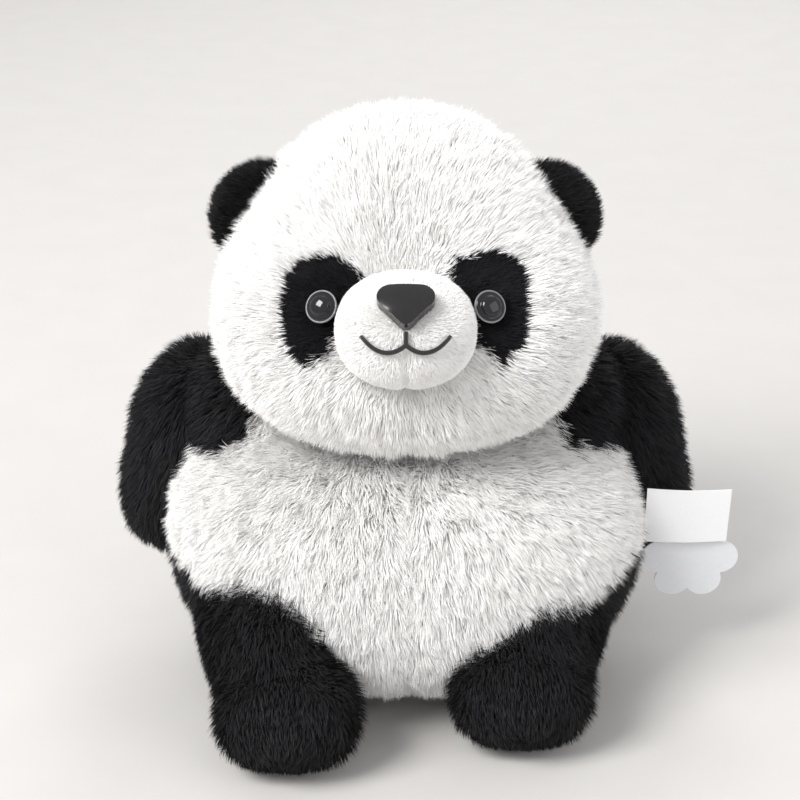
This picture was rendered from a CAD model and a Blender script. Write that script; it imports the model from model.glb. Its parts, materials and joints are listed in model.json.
"""A sitting plush panda: furred skins, plastic eyes and nose, stitched mouth, label and hang tag."""

import json
import logging
import math
from dataclasses import dataclass, field
from enum import Enum
from typing import Callable, Sequence

import bpy
import numpy as np
from mathutils import Matrix, Vector


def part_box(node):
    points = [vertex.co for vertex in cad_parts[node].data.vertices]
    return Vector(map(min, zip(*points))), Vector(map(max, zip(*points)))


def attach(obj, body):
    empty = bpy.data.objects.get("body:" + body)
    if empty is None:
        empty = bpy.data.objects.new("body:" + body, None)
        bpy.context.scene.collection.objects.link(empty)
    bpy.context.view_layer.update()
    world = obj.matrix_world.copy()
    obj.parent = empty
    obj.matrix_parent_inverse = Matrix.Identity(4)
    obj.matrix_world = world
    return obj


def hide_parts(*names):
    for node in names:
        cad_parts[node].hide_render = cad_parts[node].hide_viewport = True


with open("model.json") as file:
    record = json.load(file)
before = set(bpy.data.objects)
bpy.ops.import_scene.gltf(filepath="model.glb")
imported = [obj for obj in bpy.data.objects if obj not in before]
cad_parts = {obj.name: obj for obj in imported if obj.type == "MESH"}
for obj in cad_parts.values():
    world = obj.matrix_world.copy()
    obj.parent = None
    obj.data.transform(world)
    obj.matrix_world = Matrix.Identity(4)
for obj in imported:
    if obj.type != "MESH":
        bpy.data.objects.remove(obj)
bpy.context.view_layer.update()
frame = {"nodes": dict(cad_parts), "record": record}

LOG = logging.getLogger("panda")
SIDES = {"left": 1.0, "right": -1.0}
UP = np.array([0.0, 0.0, 1.0])
TABLE_GAP = 0.0035
SKIN_SEARCH = 0.3
SKIN_HALVINGS = 26
CLUMP_SIZE = 170.0
SEAM_WIDTH = 0.004
SEAM_DEPTH = 0.0016

Vec = Sequence[float]
Field = Callable[[np.ndarray], np.ndarray]


class Tone(Enum):
    """The kinds of plush that the toy is sewn from."""

    WHITE = "white"
    BLACK = "black"
    SHORT_WHITE = "short_white"
    SHORT_BLACK = "short_black"


# ---- finishes ----


def node(tree: bpy.types.NodeTree, kind: str, **settings: object) -> bpy.types.Node:
    """Adds a node and sets its properties.

    Args:
        tree: the node tree to add to.
        kind: the node's type name.
        settings: property names and values.

    Returns:
        The new node.
    """
    made = tree.nodes.new(kind)
    for name, value in settings.items():
        setattr(made, name, value)
    return made


def socket(sockets: Sequence[bpy.types.NodeSocket], identifier: str) -> bpy.types.NodeSocket:
    """Finds a socket by its identifier, where several share one name."""
    return next(s for s in sockets if s.identifier == identifier)


@dataclass(frozen=True)
class Finish:
    """One surface finish. Fine noise varies its roughness, and its colour where a shade is given."""

    name: str
    colour: tuple[float, float, float]
    shade: tuple[float, float, float] | None = None
    roughness: float = 0.6
    grain_scale: float = 400.0
    grain: float = 0.06
    bump: float = 0.0
    sheen: float = 0.0
    coat: float = 0.0
    specular: float = 0.5

    def material(self) -> bpy.types.Material:
        """Builds the finish as a node material, once."""
        known = bpy.data.materials.get(self.name)
        if known:
            return known
        made = bpy.data.materials.new(self.name)
        made.use_nodes = True
        tree = made.node_tree
        shader = tree.nodes["Principled BSDF"]
        shader.inputs["Base Color"].default_value = (*self.colour, 1.0)
        shader.inputs["Specular IOR Level"].default_value = self.specular
        shader.inputs["Sheen Weight"].default_value = self.sheen
        shader.inputs["Coat Weight"].default_value = self.coat
        place = node(tree, "ShaderNodeTexCoord")
        noise = node(tree, "ShaderNodeTexNoise")
        noise.inputs["Scale"].default_value = self.grain_scale
        tree.links.new(place.outputs["Object"], noise.inputs["Vector"])
        span_of = node(tree, "ShaderNodeMapRange")
        span_of.inputs["To Min"].default_value = self.roughness - self.grain
        span_of.inputs["To Max"].default_value = self.roughness + self.grain
        tree.links.new(noise.outputs["Fac"], span_of.inputs["Value"])
        tree.links.new(span_of.outputs["Result"], shader.inputs["Roughness"])
        if self.shade:
            blend = node(tree, "ShaderNodeMix", data_type="RGBA")
            socket(blend.inputs, "A_Color").default_value = (*self.shade, 1.0)
            socket(blend.inputs, "B_Color").default_value = (*self.colour, 1.0)
            tree.links.new(noise.outputs["Fac"], socket(blend.inputs, "Factor_Float"))
            tree.links.new(socket(blend.outputs, "Result_Color"), shader.inputs["Base Color"])
        if self.bump:
            relief = node(tree, "ShaderNodeBump")
            relief.inputs["Strength"].default_value = self.bump
            relief.inputs["Distance"].default_value = 0.0003
            tree.links.new(noise.outputs["Fac"], relief.inputs["Height"])
            tree.links.new(relief.outputs["Normal"], shader.inputs["Normal"])
        return made


def pile_finish(name: str, colour: tuple[float, float, float], sheen: float, specular: float) -> Finish:
    """Gives the finish of one tone of pile."""
    return Finish(name, colour, roughness=0.7, grain_scale=120.0, sheen=sheen, specular=specular)


PILE = {
    Tone.WHITE: (pile_finish("white_pile", (0.97, 0.962, 0.945), 0.3, 0.2),
                 pile_finish("white_pile_shade", (0.93, 0.918, 0.895), 0.3, 0.2)),
    Tone.BLACK: (pile_finish("black_pile", (0.018, 0.018, 0.020), 0.05, 0.2),
                 pile_finish("black_pile_shade", (0.008, 0.008, 0.009), 0.05, 0.2)),
    Tone.SHORT_WHITE: (pile_finish("muzzle_pile", (0.96, 0.95, 0.935), 0.3, 0.2),
                       pile_finish("muzzle_pile_shade", (0.92, 0.905, 0.885), 0.3, 0.2)),
    Tone.SHORT_BLACK: (pile_finish("patch_pile", (0.014, 0.014, 0.016), 0.04, 0.15),
                       pile_finish("patch_pile_shade", (0.007, 0.007, 0.008), 0.04, 0.15)),
}
WHITE_BACKING = Finish("white_backing", (0.93, 0.92, 0.90), (0.88, 0.87, 0.85), 0.95, 900.0, 0.04, bump=0.5)
BLACK_BACKING = Finish("black_backing", (0.008, 0.008, 0.009), (0.004, 0.004, 0.004), 0.95, 900.0, 0.04,
                       bump=0.5)
MUZZLE_CLOTH = Finish("muzzle_cloth", (0.92, 0.91, 0.89), (0.86, 0.84, 0.81), 0.9, 900.0, 0.04, bump=0.3)
GLOSS_BLACK = Finish("nose_gloss", (0.014, 0.013, 0.013), (0.009, 0.009, 0.009), 0.16, 300.0, 0.02, coat=0.1)
EYE_GLOSS = Finish("eye_gloss", (0.010, 0.010, 0.011), (0.006, 0.006, 0.007), 0.10, 300.0, 0.02)
RIM_GLOSS = Finish("rim_gloss", (0.20, 0.20, 0.205), (0.15, 0.15, 0.155), 0.3, 300.0, 0.03, coat=0.2)
THREAD = Finish("satin_thread", (0.016, 0.014, 0.014), (0.007, 0.006, 0.006), 0.5, 2500.0, bump=0.6,
                sheen=0.2)
SATIN = Finish("label_weave", (0.92, 0.92, 0.925), (0.87, 0.87, 0.88), 0.38, 1500.0, bump=0.25, sheen=0.2)
CARD = Finish("tag_board", (0.78, 0.79, 0.81), (0.73, 0.74, 0.76), 0.55, 500.0, bump=0.1)
NYLON = Finish("fastener_nylon", (0.85, 0.85, 0.85), (0.78, 0.78, 0.78), 0.3, 400.0)
WASHER = Finish("washer_white", (0.82, 0.82, 0.80), (0.74, 0.74, 0.72), 0.5, 400.0, bump=0.1)
FLOOR = Finish("floor", (0.62, 0.60, 0.57), (0.58, 0.56, 0.535), 0.9, 30.0)


# ---- measures from the frame ----


def span(*nodes: str) -> tuple[np.ndarray, np.ndarray]:
    """Gives the lowest and highest corner of some CAD nodes together."""
    boxes = [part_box(name) for name in nodes]
    low = np.min([np.array(b[0]) for b in boxes], axis=0)
    high = np.max([np.array(b[1]) for b in boxes], axis=0)
    return low, high


def joint_value(joint: str, key: str) -> np.ndarray:
    """Gives one vector from a joint's record."""
    joints = frame["record"]["behaviour"]["joints"]
    return np.array(next(j for j in joints if j["name"] == joint)[key], float)


def pivot(joint: str) -> np.ndarray:
    """Gives a joint's place."""
    return joint_value(joint, "pos_m")


def axis_of(joint: str) -> np.ndarray:
    """Gives a joint's axis."""
    return joint_value(joint, "axis")


def unit(vectors: np.ndarray) -> np.ndarray:
    """Scales vectors to length one."""
    return vectors / np.maximum(np.linalg.norm(vectors, axis=-1, keepdims=True), 1e-12)


def turn_about(axis: int, degrees: float) -> np.ndarray:
    """Gives the matrix of a turn about a main axis, 0 for X to 2 for Z."""
    angle = math.radians(degrees)
    c, s = math.cos(angle), math.sin(angle)
    i, j = [(1, 2), (2, 0), (0, 1)][axis]
    made = np.eye(3)
    made[i, i] = made[j, j] = c
    made[i, j], made[j, i] = -s, s
    return made


# ---- stuffed forms ----


@dataclass(frozen=True)
class Lump:
    """One ellipsoid of filling."""

    centre: Vec
    radii: Vec
    turn: np.ndarray = field(default_factory=lambda: np.eye(3))
    power: float = 2.0

    def distance(self, points: np.ndarray) -> np.ndarray:
        """Gives the rough signed distance of points from the surface, negative inside."""
        local = (points - np.array(self.centre)) @ self.turn
        radii = np.array(self.radii)
        scaled = np.abs(local / radii) + 1e-9
        level = (scaled**self.power).sum(-1) ** (1 / self.power)
        return (level - 1) * np.linalg.norm(local, axis=-1) / np.maximum(level, 1e-6)


@dataclass
class StuffedForm:
    """A closed skin round several lumps that run smoothly into each other."""

    lumps: list[Lump]
    core: Vec
    softness: float = 0.010
    seams: list[tuple[Field, float, float]] = field(default_factory=list)

    def distance(self, points: np.ndarray) -> np.ndarray:
        """Gives the rough signed distance of points from the form."""
        total = self.lumps[0].distance(points)
        for lump in self.lumps[1:]:
            other = lump.distance(points)
            near = np.maximum(self.softness - np.abs(total - other), 0) / self.softness
            total = np.minimum(total, other) - near**2 * self.softness / 4
        return total

    def skin(self, name: str, inset: float, detail: int = 6) -> bpy.types.Object:
        """Wraps a mesh round the form, with its seams drawn in.

        Args:
            name: the object's name.
            inset: how far inside the form the skin lies.
            detail: subdivisions of the starting icosphere.

        Returns:
            The skin, with no material.
        """
        bpy.ops.mesh.primitive_ico_sphere_add(subdivisions=detail, radius=1)
        skin = bpy.context.object
        skin.name = skin.data.name = name
        count = len(skin.data.vertices)
        ray = np.empty(count * 3)
        skin.data.vertices.foreach_get("co", ray)
        ray = unit(ray.reshape(-1, 3))
        low, high = np.zeros(count), np.full(count, SKIN_SEARCH)
        core = np.array(self.core)
        for _ in range(SKIN_HALVINGS):
            middle = (low + high) / 2
            inside = self.distance(core + ray * middle[:, None]) < -inset
            low = np.where(inside, middle, low)
            high = np.where(inside, high, middle)
        points = core + ray * low[:, None]
        for where, width, depth in self.seams:
            groove = depth * np.exp(-((where(points) / width) ** 2))
            points = points - ray * groove[:, None]
        skin.data.vertices.foreach_set("co", points.ravel())
        skin.data.update()
        skin.data.polygons.foreach_set("use_smooth", np.ones(len(skin.data.polygons), bool))
        return skin


def vertices_of(mesh: bpy.types.Mesh) -> tuple[np.ndarray, np.ndarray]:
    """Gives a mesh's vertex places and normals."""
    count = len(mesh.vertices)
    places, normals = np.empty(count * 3), np.empty(count * 3)
    mesh.vertices.foreach_get("co", places)
    mesh.vertex_normals.foreach_get("vector", normals)
    return places.reshape(-1, 3), normals.reshape(-1, 3)


def triangles_of(mesh: bpy.types.Mesh) -> np.ndarray:
    """Gives the three vertices of each triangle."""
    corners = np.empty(len(mesh.polygons) * 3, np.int32)
    mesh.polygons.foreach_get("vertices", corners)
    return corners.reshape(-1, 3)


def raise_to(skin: bpy.types.Object, height: float) -> None:
    """Presses a skin flat where it would lie lower than a height."""
    places, _ = vertices_of(skin.data)
    places[:, 2] = np.maximum(places[:, 2], height)
    skin.data.vertices.foreach_set("co", places.ravel())
    skin.data.update()


def new_object(name: str, mesh: bpy.types.Mesh) -> bpy.types.Object:
    """Puts a mesh in the scene as an object."""
    made = bpy.data.objects.new(name, mesh)
    bpy.context.scene.collection.objects.link(made)
    return made


def make_plain(piece: bpy.types.Object, tree: bpy.types.NodeTree,
               values: dict[str, object]) -> bpy.types.Object:
    """Runs a Geometry Nodes tree on a piece and keeps the result as its plain mesh.

    Args:
        piece: the piece that the tree starts from.
        tree: the tree.
        values: the tree's named inputs.

    Returns:
        The same piece.
    """
    modifier = piece.modifiers.new(tree.name, "NODES")
    modifier.node_group = tree
    sockets = {s.name: s.identifier for s in tree.interface.items_tree if s.in_out == "INPUT"}
    for label, value in values.items():
        modifier[sockets[label]] = value
    graph = bpy.context.evaluated_depsgraph_get()
    made = bpy.data.meshes.new_from_object(piece.evaluated_get(graph), depsgraph=graph)
    piece.modifiers.clear()
    piece.data = made
    made.name = piece.name
    LOG.info("%s: %d faces", piece.name, len(made.polygons))
    return piece


def store(mesh: bpy.types.Mesh, name: str, values: np.ndarray) -> None:
    """Writes a per-vertex number or vector on a mesh."""
    kind, key = ("FLOAT_VECTOR", "vector") if values.ndim == 2 else ("FLOAT", "value")
    layer = mesh.attributes.new(name, kind, "POINT")
    layer.data.foreach_set(key, np.ascontiguousarray(values, np.float32).ravel())


def wobble(points: np.ndarray, scale: float, seed: float) -> np.ndarray:
    """Gives a smooth random field between about -1 and 1, made of turned sine waves."""
    total = np.zeros(len(points))
    for k in range(1, 6):
        angle = 1.7 * k + seed
        way = np.array([math.cos(angle), math.sin(angle * 1.3), math.cos(angle * 0.7 + 1)])
        total += np.sin(points @ way * scale * (0.7 + 0.25 * k) + 2.1 * k * seed)
    return total / 2.5


def facing(name: str) -> tuple[np.ndarray, np.ndarray]:
    """Gives the middle of a flat round CAD node and the way that it faces, out of the head."""
    places = np.array([v.co for v in frame["nodes"][name].data.vertices])
    middle = (places.min(0) + places.max(0)) / 2
    way = np.linalg.svd(places - places.mean(0), full_matrices=False)[2][2]
    return middle, way if way[1] < 0 else -way


def lathe(name: str, profile: Sequence[tuple[float, float]], middle: np.ndarray, way: np.ndarray,
          steps: int = 72) -> bpy.types.Object:
    """Turns a profile round an axis.

    Args:
        name: the object's name.
        profile: radius and height of each ring, from the front pole to the back pole.
        middle: where the axis meets height nought.
        way: which way the height runs.
        steps: how many sides each ring has.

    Returns:
        A closed smooth mesh.
    """
    across = unit(np.cross(way, UP))
    over = np.cross(way, across)
    rings = profile[1:-1]
    verts = [middle + way * profile[0][1]]
    for radius, height in rings:
        for k in range(steps):
            angle = 2 * math.pi * k / steps
            spoke = across * math.cos(angle) + over * math.sin(angle)
            verts.append(middle + spoke * radius + way * height)
    verts.append(middle + way * profile[-1][1])
    last = len(verts) - 1
    faces = []
    for k in range(steps):
        after = (k + 1) % steps
        faces.append((0, 1 + k, 1 + after))
        for ring in range(len(rings) - 1):
            a, b = 1 + ring * steps, 1 + (ring + 1) * steps
            faces.append((a + k, b + k, b + after, a + after))
        end = 1 + (len(rings) - 1) * steps
        faces.append((end + k, last, end + after))
    mesh = bpy.data.meshes.new(name)
    mesh.from_pydata([tuple(v) for v in verts], [], faces)
    mesh.update()
    made = new_object(name, mesh)
    bpy.context.view_layer.objects.active = made
    bpy.ops.object.mode_set(mode="EDIT")
    bpy.ops.mesh.select_all(action="SELECT")
    bpy.ops.mesh.normals_make_consistent(inside=False)
    bpy.ops.object.mode_set(mode="OBJECT")
    mesh.polygons.foreach_set("use_smooth", np.ones(len(mesh.polygons), bool))
    return made


# ---- fur ----

WORKING_LAYERS = ("root", "out", "luck", "along", "comb", "thickness", "pile")


@dataclass(frozen=True)
class Coat:
    """A pile: how long, wide, leaning and tangled its tufts are."""

    tone: Tone
    length: float
    width: float
    lean: float
    tangle: float
    seed: int = 1


class FurMaker:
    """Grows tufts of pile from a skin with Geometry Nodes and turns them into a plain mesh."""

    def __init__(self) -> None:
        self.tree = self.build()

    @staticmethod
    def build() -> bpy.types.NodeTree:
        """Builds the node tree, with a named input for each size."""
        tree = bpy.data.node_groups.new("fur_tufts", "GeometryNodeTree")
        face = tree.interface
        face.new_socket("Geometry", in_out="INPUT", socket_type="NodeSocketGeometry")
        for name in ("Density", "Width", "Lean", "Tangle", "Clump Size"):
            face.new_socket(name, in_out="INPUT", socket_type="NodeSocketFloat")
        face.new_socket("Seed", in_out="INPUT", socket_type="NodeSocketInt")
        for name in ("Pile", "Pile Shade"):
            face.new_socket(name, in_out="INPUT", socket_type="NodeSocketMaterial")
        face.new_socket("Geometry", in_out="OUTPUT", socket_type="NodeSocketGeometry")
        links = tree.links
        given = node(tree, "NodeGroupInput")
        result = node(tree, "NodeGroupOutput")

        def read(name: str, kind: str = "FLOAT") -> bpy.types.NodeSocket:
            got = node(tree, "GeometryNodeInputNamedAttribute", data_type=kind)
            got.inputs["Name"].default_value = name
            return got.outputs["Attribute"]

        def maths(operation: str, *values: object) -> bpy.types.NodeSocket:
            made = node(tree, "ShaderNodeMath", operation=operation)
            for slot, value in enumerate(values):
                if isinstance(value, bpy.types.NodeSocket):
                    links.new(value, made.inputs[slot])
                else:
                    made.inputs[slot].default_value = value
            return made.outputs[0]

        def vector(operation: str, *values: object) -> bpy.types.NodeSocket:
            made = node(tree, "ShaderNodeVectorMath", operation=operation)
            for slot, value in enumerate(values):
                at = made.inputs["Scale"] if operation == "SCALE" and slot == 1 else made.inputs[slot]
                if isinstance(value, bpy.types.NodeSocket):
                    links.new(value, at)
                else:
                    at.default_value = value
            number = operation in ("DOT_PRODUCT", "LENGTH", "DISTANCE")
            return made.outputs["Value" if number else "Vector"]

        def keep(shape: bpy.types.NodeSocket, name: str, value: bpy.types.NodeSocket,
                 kind: str) -> bpy.types.NodeSocket:
            made = node(tree, "GeometryNodeStoreNamedAttribute", data_type=kind, domain="POINT")
            made.inputs["Name"].default_value = name
            links.new(shape, made.inputs["Geometry"])
            links.new(value, made.inputs["Value"])
            return made.outputs["Geometry"]

        scatter = node(tree, "GeometryNodeDistributePointsOnFaces", distribute_method="RANDOM")
        links.new(given.outputs["Geometry"], scatter.inputs["Mesh"])
        links.new(given.outputs["Seed"], scatter.inputs["Seed"])
        density = maths("MULTIPLY", given.outputs["Density"], read("thickness"))
        links.new(density, scatter.inputs["Density"])

        chance = node(tree, "FunctionNodeRandomValue", data_type="FLOAT_VECTOR")
        chance.inputs["Min"].default_value = (-1.0, -1.0, -1.0)
        chance.inputs["Max"].default_value = (1.0, 1.0, 1.0)
        links.new(given.outputs["Seed"], chance.inputs["Seed"])
        place = node(tree, "GeometryNodeInputPosition")
        points = keep(scatter.outputs["Points"], "root", place.outputs[0], "FLOAT_VECTOR")
        points = keep(points, "out", scatter.outputs["Normal"], "FLOAT_VECTOR")
        points = keep(points, "luck", chance.outputs["Value"], "FLOAT_VECTOR")

        blade = node(tree, "GeometryNodeMeshGrid")
        blade.inputs["Size X"].default_value = 2.0
        blade.inputs["Size Y"].default_value = 1.0
        blade.inputs["Vertices X"].default_value = 2
        blade.inputs["Vertices Y"].default_value = 3
        local = keep(blade.outputs["Mesh"], "along", place.outputs[0], "FLOAT_VECTOR")
        plant = node(tree, "GeometryNodeInstanceOnPoints")
        links.new(points, plant.inputs["Points"])
        links.new(local, plant.inputs["Instance"])
        real = node(tree, "GeometryNodeRealizeInstances")
        links.new(plant.outputs["Instances"], real.inputs["Geometry"])

        along = node(tree, "ShaderNodeSeparateXYZ")
        links.new(read("along", "FLOAT_VECTOR"), along.inputs[0])
        luck = read("luck", "FLOAT_VECTOR")
        root, out, comb = (read(name, "FLOAT_VECTOR") for name in ("root", "out", "comb"))
        height = maths("ADD", along.outputs["Y"], 0.5)
        bend = maths("POWER", height, 1.6)
        clumps = node(tree, "ShaderNodeTexNoise", noise_dimensions="3D")
        clumps.inputs["Detail"].default_value = 1.0
        links.new(given.outputs["Clump Size"], clumps.inputs["Scale"])
        links.new(root, clumps.inputs["Vector"])
        drift = vector("SUBTRACT", clumps.outputs["Color"], (0.5, 0.5, 0.5))
        drift = vector("SCALE", drift, 3.0)
        stray = vector("SCALE", luck, 0.45)
        drift = vector("SCALE", vector("ADD", drift, stray), given.outputs["Tangle"])
        along_skin = vector("SCALE", comb, given.outputs["Lean"])
        lying = vector("ADD", along_skin, drift)
        rise = vector("SCALE", out, height)
        lay = vector("SCALE", lying, bend)
        shape = vector("ADD", rise, lay)
        way = vector("NORMALIZE", shape)
        luck_parts = node(tree, "ShaderNodeSeparateXYZ")
        links.new(luck, luck_parts.inputs[0])
        spread = maths("ADD", maths("MULTIPLY", luck_parts.outputs["X"], 0.22), 0.92)
        reach = maths("MULTIPLY", maths("MULTIPLY", read("pile"), spread), height)
        spine = vector("ADD", root, vector("SCALE", way, reach))
        side = vector("NORMALIZE", vector("CROSS_PRODUCT", vector("ADD", luck, lying), out))
        taper = maths("SUBTRACT", 1.0, maths("POWER", height, 1.5))
        half = maths("MULTIPLY", maths("MULTIPLY", along.outputs["X"], given.outputs["Width"]), taper)
        final = vector("ADD", spine, vector("SCALE", side, half))
        move = node(tree, "GeometryNodeSetPosition")
        links.new(real.outputs["Geometry"], move.inputs["Geometry"])
        links.new(final, move.inputs["Position"])
        weld = node(tree, "GeometryNodeMergeByDistance")
        weld.inputs["Distance"].default_value = 1e-7
        paint = node(tree, "GeometryNodeSetMaterial")
        second = node(tree, "GeometryNodeSetMaterial")
        shade = node(tree, "GeometryNodeSetShadeSmooth")
        links.new(move.outputs["Geometry"], weld.inputs["Geometry"])
        links.new(weld.outputs["Geometry"], shade.inputs["Geometry"])
        links.new(shade.outputs["Geometry"], paint.inputs["Geometry"])
        links.new(given.outputs["Pile"], paint.inputs["Material"])
        links.new(paint.outputs["Geometry"], second.inputs["Geometry"])
        links.new(given.outputs["Pile Shade"], second.inputs["Material"])
        links.new(maths("GREATER_THAN", luck_parts.outputs["Z"], 0.1), second.inputs["Selection"])
        links.new(second.outputs["Geometry"], result.inputs["Geometry"])
        return tree

    def grow(self, name: str, skin: bpy.types.Object, coat: Coat, tufts: int, comb: Field,
             share: Field, length: Field | None = None) -> bpy.types.Object:
        """Grows one piece of fur.

        Args:
            name: the piece's name.
            skin: the closed skin that it grows from.
            coat: the pile's look.
            tufts: about how many tufts to grow.
            comb: which way the pile lies at each place.
            share: how thick the pile is at each place, from 0 to 1.
            length: a factor on the pile's length at each place.

        Returns:
            The fur as a plain mesh.
        """
        mesh = skin.data.copy()
        places, normals = vertices_of(mesh)
        ways = comb(places)
        ways = ways - normals * (ways * normals).sum(-1, keepdims=True)
        ways = unit(ways + 1e-9)
        thick = np.clip(share(places), 0, 1)
        lengths = np.full(len(places), coat.length)
        if length is not None:
            lengths = lengths * length(places)
        store(mesh, "comb", ways)
        store(mesh, "thickness", thick)
        store(mesh, "pile", lengths)
        corners = triangles_of(mesh)
        areas = np.empty(len(mesh.polygons))
        mesh.polygons.foreach_get("area", areas)
        covered = float((areas * thick[corners].mean(1)).sum())
        holder = new_object(name, mesh)
        holder.data.materials.clear()
        wider = 1.0
        make_plain(holder, self.tree, {
            "Density": tufts / max(covered, 1e-9),
            "Width": coat.width / 2 * wider,
            "Lean": coat.lean,
            "Tangle": coat.tangle,
            "Clump Size": CLUMP_SIZE,
            "Seed": coat.seed,
            "Pile": PILE[coat.tone][0].material(),
            "Pile Shade": PILE[coat.tone][1].material(),
        })
        layers = holder.data.attributes
        for layer in [a.name for a in layers if a.name in WORKING_LAYERS]:
            layers.remove(layers[layer])
        return holder


FUR = FurMaker()


def everywhere(points: np.ndarray) -> np.ndarray:
    """Full thickness at every place."""
    return np.ones(len(points))


def off_table(points: np.ndarray) -> np.ndarray:
    """Full thickness above the table, and none where the toy rests on it."""
    return (points[:, 2] > TABLE_GAP).astype(float)


def assign(piece: bpy.types.Object, slot: str, body: str, *nodes: str, fill: float | None = None) -> None:
    """Says what a piece is to the part.

    Args:
        piece: the piece.
        slot: its material slot.
        body: the body that it rides on.
        nodes: the CAD nodes that it stands for.
        fill: how full it is, where it is padded.
    """
    if nodes:
        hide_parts(*nodes)
    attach(piece, body)


def wear(piece: bpy.types.Object, finish: Finish) -> None:
    """Gives a piece one finish."""
    piece.data.materials.clear()
    piece.data.materials.append(finish.material())


def two_tone(skin: bpy.types.Object, dark: Field) -> None:
    """Gives part of a white skin the black backing."""
    skin.data.materials.append(BLACK_BACKING.material())
    places, _ = vertices_of(skin.data)
    black = dark(places)[triangles_of(skin.data)].mean(1) > 0.3
    skin.data.polygons.foreach_set("material_index", black.astype(np.int32))


def dress_node(name: str, finish: Finish) -> None:
    """Puts a finish on a CAD node's own slots."""
    piece = bpy.data.objects[name]
    for slot in piece.material_slots:
        slot.material = finish.material()


def outside(form: StuffedForm, depth: float) -> Field:
    """A share of 1 outside a form, or less than a depth inside it, and 0 further in."""
    return lambda points: (form.distance(points) > -depth).astype(float)


def both(*fields: Field) -> Field:
    """The product of several shares."""
    return lambda points: np.prod([f(points) for f in fields], axis=0)


# ---- stitching ----


class StitchMaker:
    """Lays satin stitches side by side with Geometry Nodes and turns them into a plain mesh."""

    def __init__(self) -> None:
        tree = bpy.data.node_groups.new("satin_stitches", "GeometryNodeTree")
        face = tree.interface
        face.new_socket("Geometry", in_out="INPUT", socket_type="NodeSocketGeometry")
        face.new_socket("Stitch Size", in_out="INPUT", socket_type="NodeSocketVector")
        face.new_socket("Thread", in_out="INPUT", socket_type="NodeSocketMaterial")
        face.new_socket("Geometry", in_out="OUTPUT", socket_type="NodeSocketGeometry")
        given = node(tree, "NodeGroupInput")
        result = node(tree, "NodeGroupOutput")
        stitch = node(tree, "GeometryNodeMeshUVSphere")
        stitch.inputs["Segments"].default_value = 10
        stitch.inputs["Rings"].default_value = 8
        stitch.inputs["Radius"].default_value = 0.5
        turn = node(tree, "GeometryNodeInputNamedAttribute", data_type="FLOAT_VECTOR")
        turn.inputs["Name"].default_value = "turn"
        plant = node(tree, "GeometryNodeInstanceOnPoints")
        real = node(tree, "GeometryNodeRealizeInstances")
        shade = node(tree, "GeometryNodeSetShadeSmooth")
        paint = node(tree, "GeometryNodeSetMaterial")
        links = tree.links
        links.new(given.outputs["Geometry"], plant.inputs["Points"])
        links.new(stitch.outputs["Mesh"], plant.inputs["Instance"])
        links.new(turn.outputs["Attribute"], plant.inputs["Rotation"])
        links.new(given.outputs["Stitch Size"], plant.inputs["Scale"])
        links.new(plant.outputs["Instances"], real.inputs["Geometry"])
        links.new(real.outputs["Geometry"], shade.inputs["Geometry"])
        links.new(shade.outputs["Geometry"], paint.inputs["Geometry"])
        links.new(given.outputs["Thread"], paint.inputs["Material"])
        links.new(paint.outputs["Geometry"], result.inputs["Geometry"])
        self.tree = tree

    def sew(self, name: str, places: np.ndarray, turns: np.ndarray, size: Vec,
            thread: Finish) -> bpy.types.Object:
        """Sews one row of stitches.

        Args:
            name: the piece's name.
            places: the middle of each stitch.
            turns: each stitch's turn, as Euler angles.
            size: a stitch's length, width and height.
            thread: the thread's finish.

        Returns:
            The stitches as a plain mesh.
        """
        mesh = bpy.data.meshes.new(name)
        mesh.from_pydata([tuple(p) for p in places], [], [])
        store(mesh, "turn", turns)
        row = new_object(name, mesh)
        return make_plain(row, self.tree, {"Stitch Size": size, "Thread": thread.material()})


STITCHES = StitchMaker()


# ---- head ----


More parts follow.
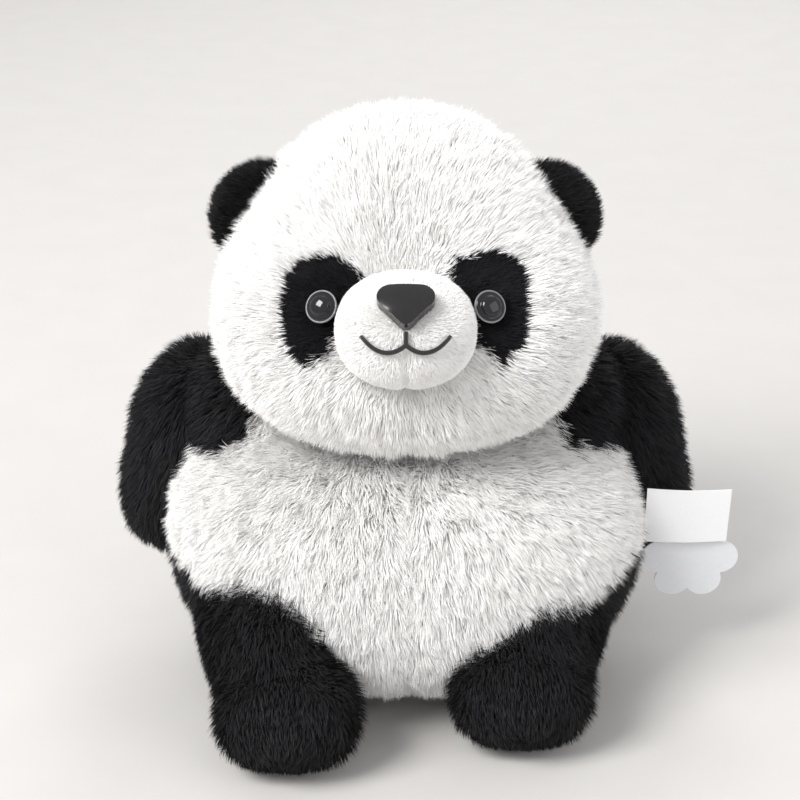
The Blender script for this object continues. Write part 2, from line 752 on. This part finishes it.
@dataclass
class Head:
    """The head with its face, ears, eyes, muzzle, nose and mouth."""

    crown_rise: float = 0.019
    crown_back: float = 0.016
    crown_radii: Vec = (0.062, 0.058, 0.060)
    inset: float = 0.0060
    softness: float = 0.022
    pile: float = 0.0080
    tufts: int = 56000
    patch_tufts: int = 9000
    eye_radius: float = 0.0056
    iris_radius: float = 0.0038
    iris_rise: float = 0.0014
    iris_dome: float = 0.0016
    rim_wall: float = 0.0004
    mouth_lift: float = 0.0013
    mouth_reach: float = 0.0148
    mouth_sag: float = 0.0036
    mouth_rise: float = 0.0015
    mouth_tick: float = 0.0042
    mouth_thread: float = 0.0019
    mouth_stand: float = 0.0011
    mouth_stitches: int = 52
    tick_stitches: int = 11
    muzzle_tufts: int = 30000
    ear_tufts: int = 9000

    def __post_init__(self) -> None:
        low, high = span("face_left", "face_right", "head_back_left", "head_back_right")
        self.centre = pivot("neck_turn")
        self.cheeks = Lump(
            self.centre,
            ((high[0] - low[0]) / 2, self.centre[1] - low[1], self.centre[2] - low[2]),
            power=2.15,
        )
        crown_centre = self.centre + np.array([0, self.crown_back, self.crown_rise])
        self.crown = Lump(crown_centre, self.crown_radii)
        self.form = StuffedForm(
            [self.cheeks, self.crown],
            self.centre + np.array([0, 0.004, 0.010]),
            self.softness,
            [(lambda p: np.where(p[:, 1] < 0, p[:, 0], 1.0), SEAM_WIDTH, SEAM_DEPTH)],
        )
        muzzle_low, muzzle_high = span("muzzle_left", "muzzle_right")
        self.muzzle_low, self.muzzle_high = muzzle_low, muzzle_high
        middle = (muzzle_low + muzzle_high) / 2
        half = (muzzle_high - muzzle_low) / 2
        self.muzzle_centre = np.array([0, muzzle_low[1] + 0.021, middle[2]])
        self.muzzle = StuffedForm(
            [Lump(self.muzzle_centre, (half[0] + 0.0002, 0.021, half[2]), power=2.2)],
            self.muzzle_centre,
            0.004,
            [(lambda p: np.where(p[:, 2] < self.muzzle_centre[2] + 0.004, p[:, 0], 1.0), 0.0016, 0.0009)],
        )

    def face_comb(self, points: np.ndarray) -> np.ndarray:
        """The pile runs out from the muzzle all round, and back over the crown."""
        from_muzzle = unit(points - (self.muzzle_centre + np.array([0, 0.01, 0])))
        back = np.clip((points[:, 1] + 0.02) / 0.05, 0, 1)[:, None]
        return from_muzzle * (1 - back) + np.array([0, 0.35, -1.0]) * back

    def build(self) -> None:
        """Makes every piece of the head."""
        skin = self.form.skin("head_skin", self.inset)
        wear(skin, WHITE_BACKING)
        patches = {s: self.patch_shape(sign) for s, sign in SIDES.items()}
        two_tone(skin, lambda p: np.maximum(patches["left"](p), patches["right"](p)))
        assign(skin, "white_plush", "head", "face_left", "face_right", "head_back_left", "head_back_right",
               "head_stuffing", fill=0.9)
        muzzle_room = outside(self.muzzle, 0.0035)

        def bare_patches(points: np.ndarray) -> np.ndarray:
            covered = np.zeros(len(points))
            for inside in patches.values():
                covered = np.maximum(covered, inside(points))
            return 1 - covered

        def shorter_at_muzzle(points: np.ndarray) -> np.ndarray:
            gap = self.muzzle.distance(points)
            around = 0.45 + 0.55 * np.clip((gap - 0.001) / 0.016, 0, 1)
            return around * (1 + 0.08 * wobble(points, 90, 0.3))

        parts = {
            "fur_face_left": lambda p: ((p[:, 1] < 0.0) & (p[:, 0] >= 0)).astype(float),
            "fur_face_right": lambda p: ((p[:, 1] < 0.0) & (p[:, 0] < 0)).astype(float),
            "fur_head_back": lambda p: (p[:, 1] >= 0.0).astype(float),
        }
        for index, (name, where) in enumerate(parts.items()):
            coat = Coat(Tone.WHITE, length=self.pile, width=0.00052, lean=0.85, tangle=0.72, seed=11 + index)
            fur = FUR.grow(name, skin, coat, self.tufts, self.face_comb,
                           both(where, muzzle_room, bare_patches), shorter_at_muzzle)
            assign(fur, "white_plush", "head")
        for side, sign in SIDES.items():
            self.build_patch(side, sign, skin, patches[side])
            self.build_eye(side)
            self.build_ear(side, sign)
        self.build_muzzle()

    def patch_shape(self, sign: float) -> Field:
        """Gives a field that is 1 on the bean-shaped eye patch of one side."""
        low, high = span(f"eye_patch_{'left' if sign > 0 else 'right'}")
        centre = (low + high) / 2
        tilt = math.radians(32)

        def inside(points: np.ndarray) -> np.ndarray:
            x = (points[:, 0] - centre[0]) * sign
            z = points[:, 2] - centre[2]
            along = x * math.sin(tilt) - z * math.cos(tilt)
            across = x * math.cos(tilt) + z * math.sin(tilt)
            across = across + 18.0 * along**2 - 0.0016
            level = (along / 0.0178) ** 2 + (across / 0.0112) ** 2
            ragged = 1 + 0.10 * wobble(points, 500, 0.7)
            return ((level < ragged) & (points[:, 1] < -0.02)).astype(float)

        return inside

    def build_patch(self, side: str, sign: float, skin: bpy.types.Object, inside: Field) -> None:
        """Grows the short black pile of an eye patch."""
        eye_low, eye_high = span(f"eye_ring_{side}")
        eye = (eye_low + eye_high) / 2

        def clear_of_eye(points: np.ndarray) -> np.ndarray:
            return (np.linalg.norm(points - eye, axis=1) > 0.0050).astype(float)

        def lengths(points: np.ndarray) -> np.ndarray:
            gap = np.linalg.norm(points - eye, axis=1)
            return 0.75 + 0.25 * np.clip((gap - 0.006) / 0.006, 0, 1)

        coat = Coat(Tone.SHORT_BLACK, length=0.0040, width=0.00045, lean=0.8, tangle=0.3, seed=31)
        fur = FUR.grow(f"fur_patch_{side}", skin, coat, self.patch_tufts, self.face_comb,
                       both(inside, clear_of_eye), lengths)
        assign(fur, "short_black_plush", "head", f"eye_patch_{side}")

    def build_eye(self, side: str) -> None:
        """Makes the domed plastic eye and its thin rim, and dresses the washer."""
        middle, way = facing(f"eye_ring_{side}")
        iris = [(self.iris_radius * math.sin(t), self.iris_rise + self.iris_dome * math.cos(t))
                for t in np.linspace(0, math.pi / 2, 12)]
        bowl = [(r, self.iris_rise * math.sqrt(max(1 - (r / self.eye_radius) ** 2, 0)))
                for r in np.linspace(self.iris_radius, self.eye_radius, 10)[1:]]
        back = [(self.eye_radius, -0.002), (0.0, -0.002)]
        eye = lathe(f"eye_dome_{side}", iris + bowl + back, middle, way)
        wear(eye, EYE_GLOSS)
        assign(eye, "eye_plastic", "head", f"eye_{side}")
        turns = np.linspace(0, 2 * math.pi, 17)[:-1]
        rim = [(self.eye_radius + self.rim_wall * math.sin(t), self.rim_wall * math.cos(t)) for t in turns]
        ring = lathe(f"eye_rim_{side}", [(0.0, -0.001)] + rim[8:] + rim[:9] + [(0.0, -0.0015)], middle, way)
        wear(ring, RIM_GLOSS)
        assign(ring, "eye_rim", "head", f"eye_ring_{side}")
        dress_node(f"eye_washer_{side}", WASHER)

    def build_muzzle(self) -> None:
        """Makes the short-piled muzzle, and dresses the nose and the stitched mouth."""
        skin = self.muzzle.skin("muzzle_skin", 0.0012, detail=5)
        wear(skin, MUZZLE_CLOTH)
        assign(skin, "short_white_plush", "head", "muzzle_left", "muzzle_right", "muzzle_stuffing", fill=0.9)

        def comb(points: np.ndarray) -> np.ndarray:
            return points - (self.muzzle_centre + np.array([0, -0.02, 0.012]))

        coat = Coat(Tone.SHORT_WHITE, length=0.0019, width=0.00040, lean=0.9, tangle=0.25, seed=41)
        fur = FUR.grow("fur_muzzle", skin, coat, self.muzzle_tufts, comb, outside(self.form, 0.004))
        assign(fur, "short_white_plush", "head")
        dress_node("nose", GLOSS_BLACK)
        dress_node("nose_washer", WASHER)
        self.build_mouth()

    def front_of_muzzle(self, x: float, z: float) -> np.ndarray:
        """Finds the point of the muzzle's front surface at a width and a height."""
        near, far = self.muzzle_low[1] - 0.002, float(self.muzzle_centre[1])
        for _ in range(30):
            middle = (near + far) / 2
            inside = self.muzzle.distance(np.array([[x, middle, z]]))[0] < 0
            near, far = (near, middle) if inside else (middle, far)
        return np.array([x, near, z])

    def build_mouth(self) -> None:
        """Sews the mouth: two hanging arcs and the short upright stitch up to the nose."""
        join = span("mouth_stitching")[0][2] + self.mouth_lift
        path = []
        for sign in (1.0, -1.0):
            for t in np.linspace(0, 1, self.mouth_stitches):
                fall = -4 * self.mouth_sag * t * (1 - t) + self.mouth_rise * t
                path.append((sign, sign * self.mouth_reach * t, join + fall))
        for t in np.linspace(0.1, 1, self.tick_stitches):
            path.append((0.0, 0.0, join + self.mouth_tick * t))
        places, turns = [], []
        step = 0.0002
        for sign, x, z in path:
            t = abs(x) / self.mouth_reach
            slope = -4 * self.mouth_sag * (1 - 2 * t) + self.mouth_rise
            run = np.array([sign * self.mouth_reach, slope]) if sign else np.array([0.0, 1.0])
            run = run / np.linalg.norm(run)
            here = self.front_of_muzzle(x, z)
            ahead = unit(self.front_of_muzzle(x + run[0] * step, z + run[1] * step) - here)
            beside = unit(self.front_of_muzzle(x - run[1] * step, z + run[0] * step) - here)
            out = unit(np.cross(ahead, beside))
            out = out if out[1] < 0 else -out
            axes = Matrix(np.stack([beside, ahead, np.cross(beside, ahead)], axis=1).tolist())
            places.append(here + out * self.mouth_stand)
            turns.append(tuple(axes.to_euler()))
        size = (self.mouth_thread, 0.00052, 0.0009)
        mouth = STITCHES.sew("mouth_stitches", np.array(places), np.array(turns), size, THREAD)
        assign(mouth, "mouth_thread", "head", "mouth_stitching")

    def build_ear(self, side: str, sign: float) -> None:
        """Makes one half-moon ear."""
        low, high = span(f"ear_front_{side}", f"ear_back_{side}")
        base = pivot(f"ear_{side}_fold")
        fold = axis_of(f"ear_{side}_fold")
        outward = np.cross(fold, np.array([0.0, 1.0, 0.0]))
        outward = unit(outward) * math.copysign(1.0, outward[2])
        turn = np.stack([fold, np.array([0.0, 1.0, 0.0]), outward], axis=1)
        centre = base - outward * 0.0085 - UP * 0.002
        form = StuffedForm([Lump(centre, (0.0215, 0.0062, 0.0200), turn, 2.2)], centre, 0.004)
        skin = form.skin(f"ear_skin_{side}", 0.0030, detail=5)
        wear(skin, BLACK_BACKING)
        assign(skin, "black_plush", f"ear_{side}", f"ear_front_{side}", f"ear_back_{side}",
               f"ear_stuffing_{side}", fill=0.7)
        coat = Coat(Tone.BLACK, length=0.0062, width=0.00058, lean=0.7, tangle=0.35, seed=51)
        fur = FUR.grow(f"fur_ear_{side}", skin, coat, self.ear_tufts,
                       lambda p: np.tile(outward, (len(p), 1)), outside(self.form, 0.006))
        assign(fur, "black_plush", f"ear_{side}")


# ---- body ----


@dataclass
class Body:
    """The white sack with its black shoulder band and tail."""

    shoulder: Vec = (0.060, 0.002, 0.112)
    shoulder_radius: float = 0.030
    inset: float = 0.0045
    pile: float = 0.0080
    tufts: int = 46000
    dark_tufts: int = 46000
    yoke_seam: float = 0.090
    side_seam: float = -0.011
    back_from: float = -0.014
    seat_height: float = 0.0012
    neighbour_overlap: float = 0.012
    hip_rear: float = 0.026
    shoulder_seam_x: Vec = (0.050, 0.058, 0.083, 0.097)
    shoulder_seam_z: Vec = (0.150, 0.111, 0.099, 0.0925)
    hip_seam_x: Vec = (0.000, 0.0165, 0.0205, 0.0357, 0.0506, 0.065, 0.086, 0.100)
    hip_seam_z: Vec = (0.000, 0.0090, 0.0220, 0.0375, 0.0484, 0.059, 0.066, 0.066)

    def __post_init__(self) -> None:
        low, high = span("belly_left", "belly_right", "back_left", "back_right", "seat_panel")
        half = (high - low) / 2
        middle = (high + low) / 2
        self.centre = np.array([0, middle[1], 0.0615])
        self.sack = Lump(self.centre, (half[0], half[1], 0.0645), power=2.25)
        lumps = [self.sack]
        for sign in SIDES.values():
            place = np.array([sign * self.shoulder[0], self.shoulder[1], self.shoulder[2]])
            lumps.append(Lump(place, (self.shoulder_radius,) * 3))
        self.form = StuffedForm(
            lumps,
            self.centre,
            0.018,
            [(lambda p: np.where(p[:, 1] < 0, p[:, 0], 1.0), SEAM_WIDTH, SEAM_DEPTH)],
        )

    def dark(self, points: np.ndarray) -> np.ndarray:
        """Gives 1 on the black shoulder yoke and hip panels and 0 on the white."""
        ragged = 0.0012 * wobble(points, 400, 0.4)
        hip = np.interp(np.abs(points[:, 0]), self.hip_seam_x, self.hip_seam_z) + ragged
        low = (points[:, 2] < hip) & (points[:, 1] < self.hip_rear + ragged)
        high = (points[:, 2] > self.yoke_seam + ragged) & (points[:, 1] > self.side_seam + ragged)
        shoulder = np.interp(np.abs(points[:, 0]), self.shoulder_seam_x, self.shoulder_seam_z)
        return (low | high | (points[:, 2] > shoulder + ragged)).astype(float)

    def light(self, points: np.ndarray) -> np.ndarray:
        """Gives 1 on the white panels and 0 on the black."""
        return 1 - self.dark(points)

    @staticmethod
    def comb(points: np.ndarray) -> np.ndarray:
        """The pile runs down and a little outwards."""
        way = np.zeros_like(points)
        way[:, 0] = points[:, 0] * 6
        way[:, 2] = -1.0
        return way

    def build(self, head: Head, limbs: list[StuffedForm]) -> None:
        """Makes the sack, its fur and the tail."""
        skin = self.form.skin("body_skin", self.inset)
        raise_to(skin, self.seat_height)
        wear(skin, WHITE_BACKING)
        two_tone(skin, self.dark)
        assign(skin, "white_plush", "body", "belly_left", "belly_right", "back_left", "back_right",
               "shoulder_yoke", "seat_panel", "body_stuffing", "neck_gusset", fill=0.85)
        room = [outside(form, self.neighbour_overlap) for form in (head.form, *limbs)]
        front = self.back_from
        parts = {
            "fur_belly_left": lambda p: ((p[:, 1] < front) & (p[:, 0] >= 0)).astype(float),
            "fur_belly_right": lambda p: ((p[:, 1] < front) & (p[:, 0] < 0)).astype(float),
            "fur_back": lambda p: (p[:, 1] >= front).astype(float),
        }
        for index, (name, where) in enumerate(parts.items()):
            coat = Coat(Tone.WHITE, length=self.pile, width=0.00052, lean=0.85, tangle=0.72, seed=61 + index)
            fur = FUR.grow(name, skin, coat, self.tufts, self.comb,
                           both(where, self.light, off_table, *room), self.low_trim)
            assign(fur, "white_plush", "body")
        coat = Coat(Tone.BLACK, length=0.0078, width=0.00060, lean=0.8, tangle=0.4, seed=71)
        fur = FUR.grow("fur_body_black", skin, coat, self.dark_tufts, self.comb,
                       both(self.dark, off_table, *room), self.low_trim)
        assign(fur, "black_plush", "body")
        self.build_tail()

    @staticmethod
    def low_trim(points: np.ndarray) -> np.ndarray:
        """The pile is pressed short near the table."""
        return 0.30 + 0.70 * np.clip((points[:, 2] - 0.003) / 0.012, 0, 1)

    def build_tail(self) -> None:
        """Makes the short round tail."""
        low, high = span("tail_cover")
        half = (high - low) / 2
        middle = (high + low) / 2
        form = StuffedForm([Lump(middle, tuple(half))], middle, 0.004)
        skin = form.skin("tail_skin", 0.003, detail=4)
        wear(skin, BLACK_BACKING)
        assign(skin, "black_plush", "body", "tail_cover", "tail_stuffing", fill=0.8)
        coat = Coat(Tone.BLACK, length=0.0068, width=0.0006, lean=0.7, tangle=0.4, seed=81)
        fur = FUR.grow("fur_tail", skin, coat, 6000, self.comb, outside(self.form, 0.004))
        assign(fur, "black_plush", "body")


# ---- limbs ----


@dataclass
class Arm:
    """One black arm, which hangs from its shoulder."""

    side: str
    hang: Vec = (0.013, 0.0, -0.014)
    radii: Vec = (0.023, 0.024, 0.048)
    splay: float = 16.0
    ball: float = 0.026
    inset: float = 0.0040
    tufts: int = 30000

    def __post_init__(self) -> None:
        sign = SIDES[self.side]
        self.joint = pivot(f"arm_{self.side}_lift")
        centre = self.joint + np.array([sign * self.hang[0], self.hang[1], self.hang[2]])
        turn = turn_about(1, -sign * self.splay)
        self.form = StuffedForm(
            [Lump(centre, self.radii, turn, 2.2), Lump(self.joint, (self.ball,) * 3)],
            self.joint + np.array([sign * 0.006, 0, -0.008]),
            0.016,
        )

    def build(self) -> None:
        """Makes the arm's skin and fur."""
        sign = SIDES[self.side]
        skin = self.form.skin(f"arm_skin_{self.side}", self.inset, detail=5)
        wear(skin, BLACK_BACKING)
        names = [f"arm_{part}_{self.side}" for part in ("front", "back", "stuffing")]
        assign(skin, "black_plush", f"arm_{self.side}", *names, fill=0.8)
        coat = Coat(Tone.BLACK, length=0.0080, width=0.00060, lean=0.85, tangle=0.42, seed=91)
        fur = FUR.grow(f"fur_arm_{self.side}", skin, coat, self.tufts,
                       lambda p: np.tile(np.array([sign * 0.3, 0, -1.0]), (len(p), 1)), everywhere)
        assign(fur, "black_plush", f"arm_{self.side}")


@dataclass
class Leg:
    """One black leg with its foot."""

    side: str
    thigh_x: float = 0.057
    thigh_radii: Vec = (0.026, 0.052, 0.036)
    turn: float = -12.0
    foot_radii: Vec = (0.028, 0.023, 0.0252)
    foot_x: float = 0.045
    thigh_back: float = 0.044
    rest_height: float = 0.0015
    hip_radius: float = 0.024
    inset: float = 0.0040
    tufts: int = 40000

    def __post_init__(self) -> None:
        sign = SIDES[self.side]
        self.joint = pivot(f"leg_{self.side}_spread")
        low, _ = span(f"sole_{self.side}")
        foot = np.array([sign * self.foot_x, low[1] + self.foot_radii[1], self.foot_radii[2] + 0.0006])
        middle = foot[1] + self.thigh_back
        self.sole_seam = span(f"sole_{self.side}")[1][1]
        thigh = np.array([sign * self.thigh_x, middle, self.joint[2]])
        turn = turn_about(2, sign * self.turn)
        hip_radii = (self.hip_radius, self.hip_radius, self.thigh_radii[2])
        self.foot = foot
        self.form = StuffedForm(
            [
                Lump(thigh, self.thigh_radii, turn, 2.1),
                Lump(self.joint, hip_radii),
                Lump(foot, self.foot_radii, power=2.3),
            ],
            np.array([sign * 0.052, foot[1] + 0.028, 0.032]),
            0.010,
            [(lambda p: p[:, 1] - self.sole_seam, 0.0028, 0.0030)],
        )

    def build(self) -> None:
        """Makes the leg's skin and fur."""
        skin = self.form.skin(f"leg_skin_{self.side}", self.inset, detail=5)
        raise_to(skin, self.rest_height)
        wear(skin, BLACK_BACKING)
        names = [f"{part}_{self.side}" for part in ("leg_outer", "leg_inner", "sole", "leg_stuffing")]
        assign(skin, "black_plush", f"leg_{self.side}", *names, fill=0.85)
        foot = self.foot

        def comb(points: np.ndarray) -> np.ndarray:
            way = np.tile(np.array([0.0, -1.0, -0.45]), (len(points), 1))
            return way + 8 * (points - foot) * np.array([1, 0, 1])

        def trim(points: np.ndarray) -> np.ndarray:
            sole = np.clip((points[:, 1] - (foot[1] - 0.012)) / 0.008, 0, 1)
            table = np.clip((points[:, 2] - 0.003) / 0.010, 0, 1)
            return (0.55 + 0.45 * sole) * (0.35 + 0.65 * table)

        coat = Coat(Tone.BLACK, length=0.0080, width=0.00060, lean=0.85, tangle=0.42, seed=95)
        fur = FUR.grow(f"fur_leg_{self.side}", skin, coat, self.tufts, comb, off_table, trim)
        assign(fur, "black_plush", f"leg_{self.side}")


# ---- labels ----


@dataclass
class Labels:
    """The satin label in the side seam and the card tag behind it."""

    curl: float = 0.0016
    columns: int = 60
    rows: int = 44

    def build(self) -> None:
        """Makes the label as a sheet and dresses the tag and its fastener."""
        low, high = span("care_label")
        width, height = high[0] - low[0], high[2] - low[2]
        y = (low[1] + high[1]) / 2
        verts, faces = [], []
        for j in range(self.rows + 1):
            for i in range(self.columns + 1):
                u, v = i / self.columns, j / self.rows
                bow = self.curl * math.sin(math.pi * u) * (0.6 + 0.4 * v) + 0.0015 * u * u * (v - 0.4)
                verts.append((low[0] + width * u, y - bow, low[2] + height * v))
        stride = self.columns + 1
        for j in range(self.rows):
            for i in range(self.columns):
                a = j * stride + i
                faces.append((a, a + 1, a + stride + 1, a + stride))
        mesh = bpy.data.meshes.new("side_label")
        mesh.from_pydata(verts, [], faces)
        label = new_object("side_label", mesh)
        thick = label.modifiers.new("cloth", "SOLIDIFY")
        thick.thickness = 0.0003
        thick.offset = 0
        wear(label, SATIN)
        assign(label, "satin_label", "label", "care_label")
        dress_node("hang_tag", CARD)
        dress_node("tag_fastener", NYLON)


# ---- studio ----


@dataclass
class Studio:
    """A pale floor, soft lights and the camera."""

    aim: Vec = (-0.002, -0.010, 0.118)
    distance: float = 0.680
    elevation: float = 27.0
    width_seen: float = 0.320

    def build(self) -> None:
        """Makes the floor, the lights and the camera."""
        bpy.ops.mesh.primitive_plane_add(size=6)
        floor = bpy.context.object
        floor.name = "floor"
        wear(floor, FLOOR)
        world = bpy.data.worlds.new("studio")
        world.use_nodes = True
        world.node_tree.nodes["Background"].inputs["Color"].default_value = (0.95, 0.96, 1.0, 1.0)
        world.node_tree.nodes["Background"].inputs["Strength"].default_value = 0.72
        bpy.context.scene.world = world
        self.lamp("key", (-0.9, -0.7, 1.3), 0.7, 27.0)
        self.lamp("fill", (1.2, -0.8, 0.8), 1.2, 6.0)
        self.lamp("rim", (0.3, 1.3, 1.1), 0.8, 8.0)
        lens = bpy.data.cameras.new("camera")
        lens.sensor_width = 36.0
        lens.lens = 36.0 * self.distance / self.width_seen
        camera = bpy.data.objects.new("camera", lens)
        bpy.context.scene.collection.objects.link(camera)
        rise = math.radians(self.elevation)
        camera.location = (
            self.aim[0],
            self.aim[1] - self.distance * math.cos(rise),
            self.aim[2] + self.distance * math.sin(rise),
        )
        camera.rotation_euler = (math.pi / 2 - rise, 0, 0)
        bpy.context.scene.camera = camera
        bpy.context.scene.view_settings.view_transform = "Standard"

    def lamp(self, name: str, place: Vec, size: float, power: float) -> None:
        """Adds one soft square light aimed at the toy.

        Args:
            name: the light's name.
            place: where it stands.
            size: the side of its square.
            power: in watts.
        """
        data = bpy.data.lights.new(name, "AREA")
        data.size = size
        data.energy = power
        lamp = bpy.data.objects.new(name, data)
        bpy.context.scene.collection.objects.link(lamp)
        lamp.location = place
        way = Vector(self.aim) - Vector(place)
        lamp.rotation_euler = way.to_track_quat("-Z", "Y").to_euler()


def main() -> None:
    """Builds the toy and the studio."""
    logging.basicConfig(level=logging.INFO, format="%(message)s")
    Studio().build()
    head = Head()
    arms = [Arm(side) for side in SIDES]
    legs = [Leg(side) for side in SIDES]
    head.build()
    balls = [StuffedForm([arm.form.lumps[-1]], arm.joint) for arm in arms]
    Body().build(head, balls + [leg.form for leg in legs])
    for limb in arms + legs:
        limb.build()
    Labels().build()


if __name__ == "__main__":
    main()
